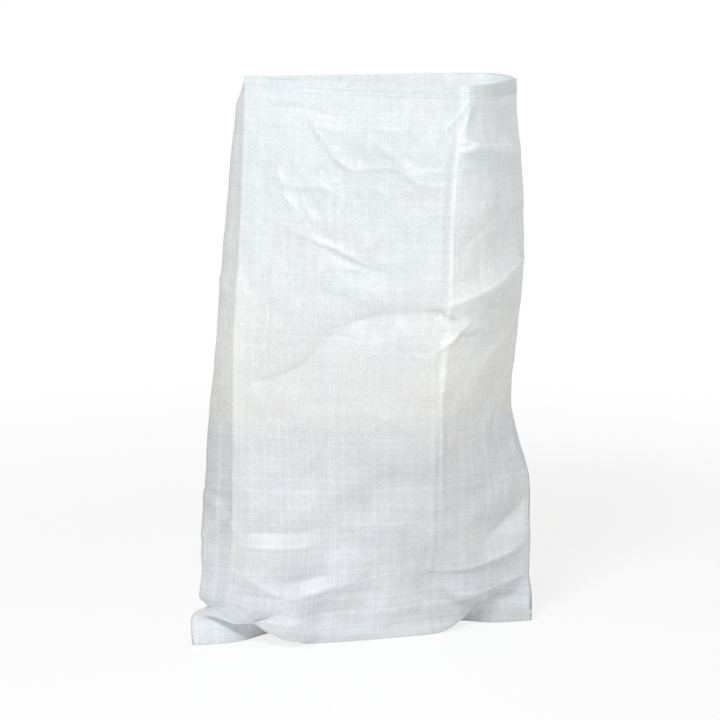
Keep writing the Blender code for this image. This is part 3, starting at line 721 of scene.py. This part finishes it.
def woven_material():
    """Flat white tapes in plain weave: each has its own tone, gloss and slack, and light goes over their edges."""
    made, tree, shader = new_material("woven polypropylene", (0.86, 0.88, 0.89), 0.40)
    flat = add(tree, "ShaderNodeUVMap", uv_map="cloth").outputs[0]
    split = add(tree, "ShaderNodeSeparateXYZ")
    joined(tree, flat, split.inputs[0])
    place, length = split.outputs[0], split.outputs[1]
    warp = sums(tree, "DIVIDE", place, tape_width)
    weft = sums(tree, "DIVIDE", length, tape_width)
    warp_number = sums(tree, "FLOOR", warp)
    weft_number = sums(tree, "FLOOR", weft)
    parity = sums(tree, "MODULO", sums(tree, "ADD", warp_number, weft_number), 2.0)

    # Tones: every tape, and its slow change along its length
    warp_tone = sums(tree, "ADD", chance(tree, warp_number), noise(tree, pair(tree, warp_number, sums(
        tree, "MULTIPLY", length, 9.0)), 1.0))
    weft_tone = sums(tree, "ADD", chance(tree, sums(tree, "ADD", weft_number, 977.0)), noise(tree, pair(
        tree, sums(tree, "MULTIPLY", place, 9.0), weft_number), 1.0))
    tone = sums(tree, "MULTIPLY", sums(tree, "ADD", warp_tone, weft_tone), 0.25)

    # Height of the weave: the tape on top is crowned, and its edges drop
    across_warp = sums(tree, "SINE", sums(tree, "MULTIPLY", sums(tree, "FRACT", warp), math.pi))
    across_weft = sums(tree, "SINE", sums(tree, "MULTIPLY", sums(tree, "FRACT", weft), math.pi))
    under = sums(tree, "SUBTRACT", 1.0, parity)
    crown = sums(tree, "ADD", sums(tree, "MULTIPLY", across_warp, parity), sums(
        tree, "MULTIPLY", across_weft, under))
    slack = noise(tree, pair(tree, sums(tree, "MULTIPLY", place, 190.0), sums(
        tree, "MULTIPLY", length, 30.0)), 1.0, 3.0, 0.6)
    ripple = noise(tree, flat, 60.0, 4.0, 0.6)

    # Tones up the bag: darker below the level to which it is filled, and the sides and the back take painted light
    # and painted shade
    wander = noise(tree, flat, 7.0, 4.0, 0.6)
    shifted = sums(tree, "ADD", length, sums(tree, "MULTIPLY", sums(tree, "SUBTRACT", wander, 0.5), 0.20))
    ramp = height_ramp(tree, shifted, tones)
    side_light_and_shade_ramp = height_ramp(tree, shifted, side_light_and_shade_tones)
    strip = sums(tree, "MULTIPLY", mapped(tree, place, left_strip - 0.004, left_strip + 0.004, 0.0, 1.0), mapped(
        tree, length, 0.10, 0.27, 0.45, 1.0))
    left_edge = sums(tree, "MULTIPLY", mapped(tree, place, 0.0, 0.09, 1.0, 0.0), mapped(
        tree, length, 0.06, 0.14, 0.0, 1.0))
    before_strip = mapped(tree, place, left_strip - 0.004, left_strip + 0.004, 1.0, 0.0)
    right_and_back = sums(tree, "MULTIPLY", mapped(tree, place, 0.34, 0.44, 0.0, 1.0), before_strip)
    off_front = sums(tree, "ADD", left_edge, sums(tree, "ADD", right_and_back, strip))
    # Painted light and shade: off the front, the side colours set how bright the sides, the back and the left edge
    # look
    ramp = tinted(tree, off_front, ramp, side_light_and_shade_ramp)
    filled = mapped(tree, shifted, fill_level - 0.03, fill_level + 0.01, 1.0, 0.0)
    blotch = noise(tree, flat, 4.5, 3.0, 0.55)
    blue = mapped(tree, noise(tree, pair(tree, place, length, 4.0), 9.0, 3.0), 0.46, 0.70, 0.0, 0.22)
    warm = mapped(tree, noise(tree, pair(tree, place, length, 9.0), 8.0, 3.0), 0.48, 0.70, 0.0, 0.26)
    body = tinted(tree, blue, ramp, (0.74, 0.81, 0.86))
    body = tinted(tree, warm, body, (0.87, 0.83, 0.80))
    patchy = sums(tree, "MULTIPLY", sums(tree, "SUBTRACT", blotch, 0.5), sums(
        tree, "ADD", 0.08, sums(tree, "MULTIPLY", filled, 0.14)))
    weave_contrast = sums(tree, "ADD", 0.05, sums(tree, "MULTIPLY", filled, 0.07))
    streaks = sums(tree, "MULTIPLY", sums(tree, "SUBTRACT", tone, 0.5), weave_contrast)
    bright_tapes = sums(tree, "ADD", mapped(tree, chance(tree, warp_number), 0.50, 1.0, 0.0, 1.0), mapped(
        tree, chance(tree, sums(tree, "ADD", weft_number, 977.0)), 0.55, 1.0, 0.0, 1.0))
    streaks = sums(tree, "ADD", streaks, sums(tree, "MULTIPLY", bright_tapes, sums(
        tree, "ADD", 0.024, sums(tree, "MULTIPLY", filled, 0.020))))
    crossing = add(tree, "ShaderNodeTexWhiteNoise", noise_dimensions="2D")
    joined(tree, pair(tree, warp_number, weft_number), crossing.inputs["Vector"])
    glint = crossing.outputs["Value"]
    # Each crossing's random tone, partly a painted glint of the tapes
    streaks = sums(tree, "ADD", streaks, sums(tree, "MULTIPLY", sums(tree, "SUBTRACT", glint, 0.5), 0.09))
    # Painted shade: the strip left of the front is darkened, less so near the bottom
    shaded_strip = sums(tree, "MULTIPLY", strip, -0.165)
    # Painted shade: the upper front between the middle and the storage crease is darkened
    painted_shade_upper_front = sums(tree, "MULTIPLY", mapped(tree, place, 0.12, 0.26, 0.0, -0.060), sums(
        tree, "MULTIPLY", mapped(tree, length, 0.55, 0.80, 0.0, 1.0), mapped(tree, place, 0.39, 0.43, 1.0, 0.0)))
    bright = sums(tree, "ADD", sums(tree, "ADD", 1.0, sums(tree, "ADD", shaded_strip, painted_shade_upper_front)), sums(
        tree, "ADD", patchy, streaks))

    # Painted light and shade: crests are painted lighter and valleys darker, and the storage crease has a painted
    # highlight line beside painted shade lines
    crest = add(tree, "ShaderNodeAttribute", attribute_name="crest").outputs["Fac"]
    crease_light_and_shade = sums(tree, "MINIMUM", sums(tree, "MAXIMUM", sums(tree, "MULTIPLY", crest, crest_light_and_shade), -0.09), 0.06)
    line_place = mapped(tree, length, 0.30, 0.55, storage_line[1], storage_line[0])
    # Painted highlight and painted shade lines beside the storage crease
    for beside, reach, change in storage_crease_light_and_shade:
        away = sums(tree, "ABSOLUTE", sums(tree, "SUBTRACT", sums(tree, "SUBTRACT", place, line_place), beside))
        broken = mapped(tree, noise(tree, flat, 14.0, 3.0), 0.38, 0.60, 0.1, 1.0)
        mark = mapped(tree, away, 0.0, reach, change, 0.0)
        crease_light_and_shade = sums(tree, "ADD", crease_light_and_shade, sums(tree, "MULTIPLY", mark, broken))
    # Painted light: the hem band is lightened against the shade that its inner layer casts
    hem_painted_light = mapped(tree, length, height - hem_depth - 0.001, height - hem_depth + 0.001, 0.0, 0.030)
    bright = sums(tree, "ADD", bright, sums(tree, "ADD", crease_light_and_shade, hem_painted_light))
    scaled = add(tree, "ShaderNodeVectorMath", operation="SCALE")
    joined(tree, body, scaled.inputs[0])
    joined(tree, bright, scaled.inputs["Scale"])
    joined(tree, scaled.outputs[0], shader.inputs["Base Color"])

    shader.inputs["Specular IOR Level"].default_value = 0.6
    gloss = sums(tree, "ADD", 0.29, sums(tree, "MULTIPLY", tone, 0.14))
    joined(tree, gloss, shader.inputs["Roughness"])

    # Heights in millimetres: tape crowns, slack tapes, crepe, small crumples and pressed-in wrinkles
    crepe = noise(tree, pair(tree, sums(tree, "MULTIPLY", place, 90.0), sums(
        tree, "MULTIPLY", length, 260.0)), 1.0, 2.0, 0.6)
    wrinkle = add(tree, "ShaderNodeTexNoise", noise_type="RIDGED_MULTIFRACTAL")
    joined(tree, flat, wrinkle.inputs["Vector"])
    wrinkle.inputs["Scale"].default_value = 16.0
    wrinkle.inputs["Detail"].default_value = 3.0
    relief_height = 0.0
    for part, amount in ((crown, 0.10), (glint, 0.06), (slack, 0.70), (crepe, 0.55), (ripple, 1.6),
                         (wrinkle.outputs["Fac"], 1.3)):
        relief_height = sums(tree, "ADD", relief_height, sums(tree, "MULTIPLY", part, amount))
    bump = add(tree, "ShaderNodeBump")
    bump.inputs["Strength"].default_value = 1.0
    bump.inputs["Distance"].default_value = 0.001
    joined(tree, relief_height, bump.inputs["Height"])
    joined(tree, bump.outputs[0], shader.inputs["Normal"])

    # Thin enough to let some light through
    behind = add(tree, "ShaderNodeBsdfTranslucent")
    joined(tree, scaled.outputs[0], behind.inputs["Color"])
    blend = add(tree, "ShaderNodeMixShader")
    blend.inputs[0].default_value = see_through
    joined(tree, shader.outputs[0], blend.inputs[1])
    joined(tree, behind.outputs[0], blend.inputs[2])
    joined(tree, blend.outputs[0], tree.nodes["Material Output"].inputs["Surface"])
    return made


def thread_material():
    """Twisted white thread."""
    made, tree, shader = new_material("sewing thread", (0.90, 0.90, 0.88), 0.60)
    flat = add(tree, "ShaderNodeUVMap", uv_map="thread").outputs[0]
    split = add(tree, "ShaderNodeSeparateXYZ")
    joined(tree, flat, split.inputs[0])
    twist = sums(tree, "SINE", sums(tree, "ADD", sums(
        tree, "MULTIPLY", split.outputs[1], math.tau / twist_length), sums(
        tree, "MULTIPLY", split.outputs[0], 2 * math.tau)))
    fibre = noise(tree, pair(tree, sums(tree, "MULTIPLY", split.outputs[0], 8.0), sums(
        tree, "MULTIPLY", split.outputs[1], 900.0)), 1.0, 2.0)
    tone = mapped(tree, sums(tree, "ADD", twist, fibre), -1.0, 2.0, 0.0, 1.0)
    joined(tree, tinted(tree, tone, (0.83, 0.87, 0.89), (0.92, 0.95, 0.96)), shader.inputs["Base Color"])
    bump = add(tree, "ShaderNodeBump")
    bump.inputs["Strength"].default_value = 0.7
    bump.inputs["Distance"].default_value = 0.00025
    joined(tree, tone, bump.inputs["Height"])
    joined(tree, bump.outputs[0], shader.inputs["Normal"])
    return made


def along_row(points, normals, closed, step):
    """Points and outward directions at equal steps along a row of the cloth."""
    if closed:
        points = np.concatenate((points, points[:1]))
        normals = np.concatenate((normals, normals[:1]))
    passed = np.concatenate(((0,), np.cumsum(np.linalg.norm(np.diff(points, axis=0), axis=1))))
    stitches = round(passed[-1] / stitch_length)
    count = stitches * step
    wanted = passed[-1] * np.arange(count + (not closed)) / count
    spots = np.stack([np.interp(wanted, passed, points[:, k]) for k in range(3)], -1)
    facing = unit(np.stack([np.interp(wanted, passed, normals[:, k]) for k in range(3)], -1))
    return spots, facing, wanted


def stitched_thread(name, points, normals, closed, finish, node):
    """A thread that lies on the cloth for one stitch and goes through it at each end of the stitch."""
    steps = 8
    centres, facing, passed = along_row(points, normals, closed, steps)
    phase = np.arange(len(centres)) % steps / steps
    rise = thread_diameter / 2 * (0.75 * np.sqrt(np.sin(np.pi * phase)) - 0.9 * (phase == 0))
    centres = centres + facing * rise[:, None]
    if closed:
        along = unit(np.roll(centres, -1, axis=0) - np.roll(centres, 1, axis=0))
    else:
        along = unit(np.gradient(centres, axis=0))
    side = unit(np.cross(along, facing))
    over = np.cross(side, along)
    sides = 8
    angles = math.tau * np.arange(sides) / sides
    ring = over[:, None] * np.cos(angles)[:, None] + side[:, None] * np.sin(angles)[:, None]
    verts = centres[:, None] + ring * thread_diameter / 2
    count = len(centres)
    index = np.arange(count * sides).reshape(count, sides)
    after = np.roll(index, -1, axis=0) if closed else index[1:]
    here = index if closed else index[:-1]
    quads = np.stack((here, np.roll(here, -1, axis=1), np.roll(after, -1, axis=1), after), -1)
    mesh = bpy.data.meshes.new(name)
    faces = quads.reshape(-1, 4).tolist()
    if not closed:
        faces.append(index[0].tolist())
        faces.append(index[-1][::-1].tolist())
    mesh.from_pydata(verts.reshape(-1, 3).tolist(), [], faces)
    layer_of = mesh.uv_layers.new(name="thread")
    flat = np.stack((np.broadcast_to(np.arange(sides) / sides, (count, sides)),
                     np.broadcast_to(passed[:, None], (count, sides))), -1).reshape(-1, 2)
    corner = np.empty(len(mesh.loops), dtype=np.int32)
    mesh.loops.foreach_get("vertex_index", corner)
    layer_of.data.foreach_set("uv", flat[corner].reshape(-1).astype(np.float32))
    mesh.shade_smooth()
    return shown(name, mesh, finish, node)


def area_light(name, place, target, size, power, colour):
    lamp = bpy.data.lights.new(name, "AREA")
    lamp.shape = "RECTANGLE"
    lamp.size, lamp.size_y = size
    lamp.energy = power
    lamp.color = colour
    obj = bpy.data.objects.new(name, lamp)
    obj.location = place
    obj.rotation_euler = (Vector(target) - Vector(place)).to_track_quat("-Z", "Y").to_euler()
    bpy.context.scene.collection.objects.link(obj)


def seen_directly(tree):
    """1 for what the camera sees, itself or in a shine or through glass."""
    path = add(tree, "ShaderNodeLightPath")
    seen = sums(tree, "MAXIMUM", path.outputs["Is Camera Ray"], path.outputs["Is Glossy Ray"])
    return sums(tree, "MAXIMUM", seen, path.outputs["Is Transmission Ray"])


def studio(shift):
    scene = bpy.context.scene
    world = bpy.data.worlds.new("studio")
    scene.world = world
    world.use_nodes = True
    tree = world.node_tree
    surround = tree.nodes["Background"]
    seen = seen_directly(tree)
    joined(tree, tinted(tree, seen, surround_tint, (1.0, 1.0, 1.0)), surround.inputs["Color"])
    strength = add(tree, "ShaderNodeMix", data_type="FLOAT")
    joined(tree, seen, strength.inputs[0])
    strength.inputs[2].default_value = surround_light
    strength.inputs[3].default_value = 1.0
    joined(tree, strength.outputs[0], surround.inputs["Strength"])

    mesh = bpy.data.meshes.new("floor")
    reach = 12.0
    mesh.from_pydata([(-reach, -reach, 0), (reach, -reach, 0), (reach, reach, 0), (-reach, reach, 0)], [],
                     [(0, 1, 2, 3)])
    ground = bpy.data.objects.new("floor", mesh)
    scene.collection.objects.link(ground)
    made, tree, shader = new_material("studio floor", (0.92, 0.92, 0.92), 0.9)
    glow = add(tree, "ShaderNodeEmission")
    glow.inputs["Strength"].default_value = 1.0
    blend = add(tree, "ShaderNodeMixShader")
    spot = add(tree, "ShaderNodeTexCoord").outputs["Object"]
    away = add(tree, "ShaderNodeVectorMath", operation="LENGTH")
    joined(tree, spot, away.inputs[0])
    white = mapped(tree, away.outputs["Value"], *floor_fade, floor_white, 1.0)
    joined(tree, sums(tree, "MULTIPLY", seen_directly(tree), white), blend.inputs[0])
    joined(tree, shader.outputs[0], blend.inputs[1])
    joined(tree, glow.outputs[0], blend.inputs[2])
    joined(tree, blend.outputs[0], tree.nodes["Material Output"].inputs["Surface"])
    mesh.materials.append(made)

    area_light("key", (-0.85, -2.55, 2.9), (0, 0, 0.50), (0.9, 0.7), key_power, (0.95, 0.985, 1.0))
    area_light("fill", (2.4, -1.6, 1.6), (0, 0, 0.5), (1.6, 1.6), fill_power, (1.0, 1.0, 1.0))

    lens = bpy.data.cameras.new("camera")
    lens.sensor_width = 36.0
    lens.lens = camera_lens
    camera = bpy.data.objects.new("camera", lens)
    camera.location = camera_place + shift
    camera.rotation_euler = (math.radians(90) - camera_tilt, 0, 0)
    scene.collection.objects.link(camera)
    scene.camera = camera
    scene.view_settings.view_transform = "Standard"


nominal, wall_start, mouth_row = cloth_grid()
corners = nominal.reshape(-1, 3)
middle = (corners.min(axis=0) + corners.max(axis=0)) / 2
cad_middle = (np.array(cad_box[0]) + np.array(cad_box[1])) / 2
columns = seam_columns()
sides = np.array([column[1] for column in columns])
place = np.broadcast_to(np.array([column[2] for column in columns])[:, None], nominal.shape[:2])
level = place_rows(nominal)
push = relief(nominal, place, level, sides)
facing = grid_normals(nominal)
cloth = nominal + facing * push[:, :, None]
cloth[:, :, 2] = np.maximum(cloth[:, :, 2], np.minimum(nominal[:, :, 2], half_cloth))
shift = (cad_middle - middle) * (1, 1, 0)
cloth += shift

woven = woven_material()
sewing = thread_material()
sack = shown("sack_cloth", cloth_mesh("sack_cloth", cloth, place, level, pressed_in(push)), woven, "sack_fabric")
facing = grid_normals(cloth)
for name, below in zip(("hem_thread_upper", "hem_thread_lower"), stitch_below_edge):
    row = wall_start + int(np.argmin(np.abs(nominal[0, wall_start : mouth_row + 1, 2] - (height - below))))
    thread = stitched_thread(name + "_stitches", cloth[:, row], facing[:, row], True, sewing, name)
front = [i for i, column in enumerate(columns) if column[1] == -1]
seam_row = 13 + 7 - round(7 * seam_stitch_below / seam_depth)
thread = stitched_thread("base_seam_stitches", cloth[front, seam_row], facing[front, seam_row], False, sewing,
                         "base_seam_thread")
studio(shift)
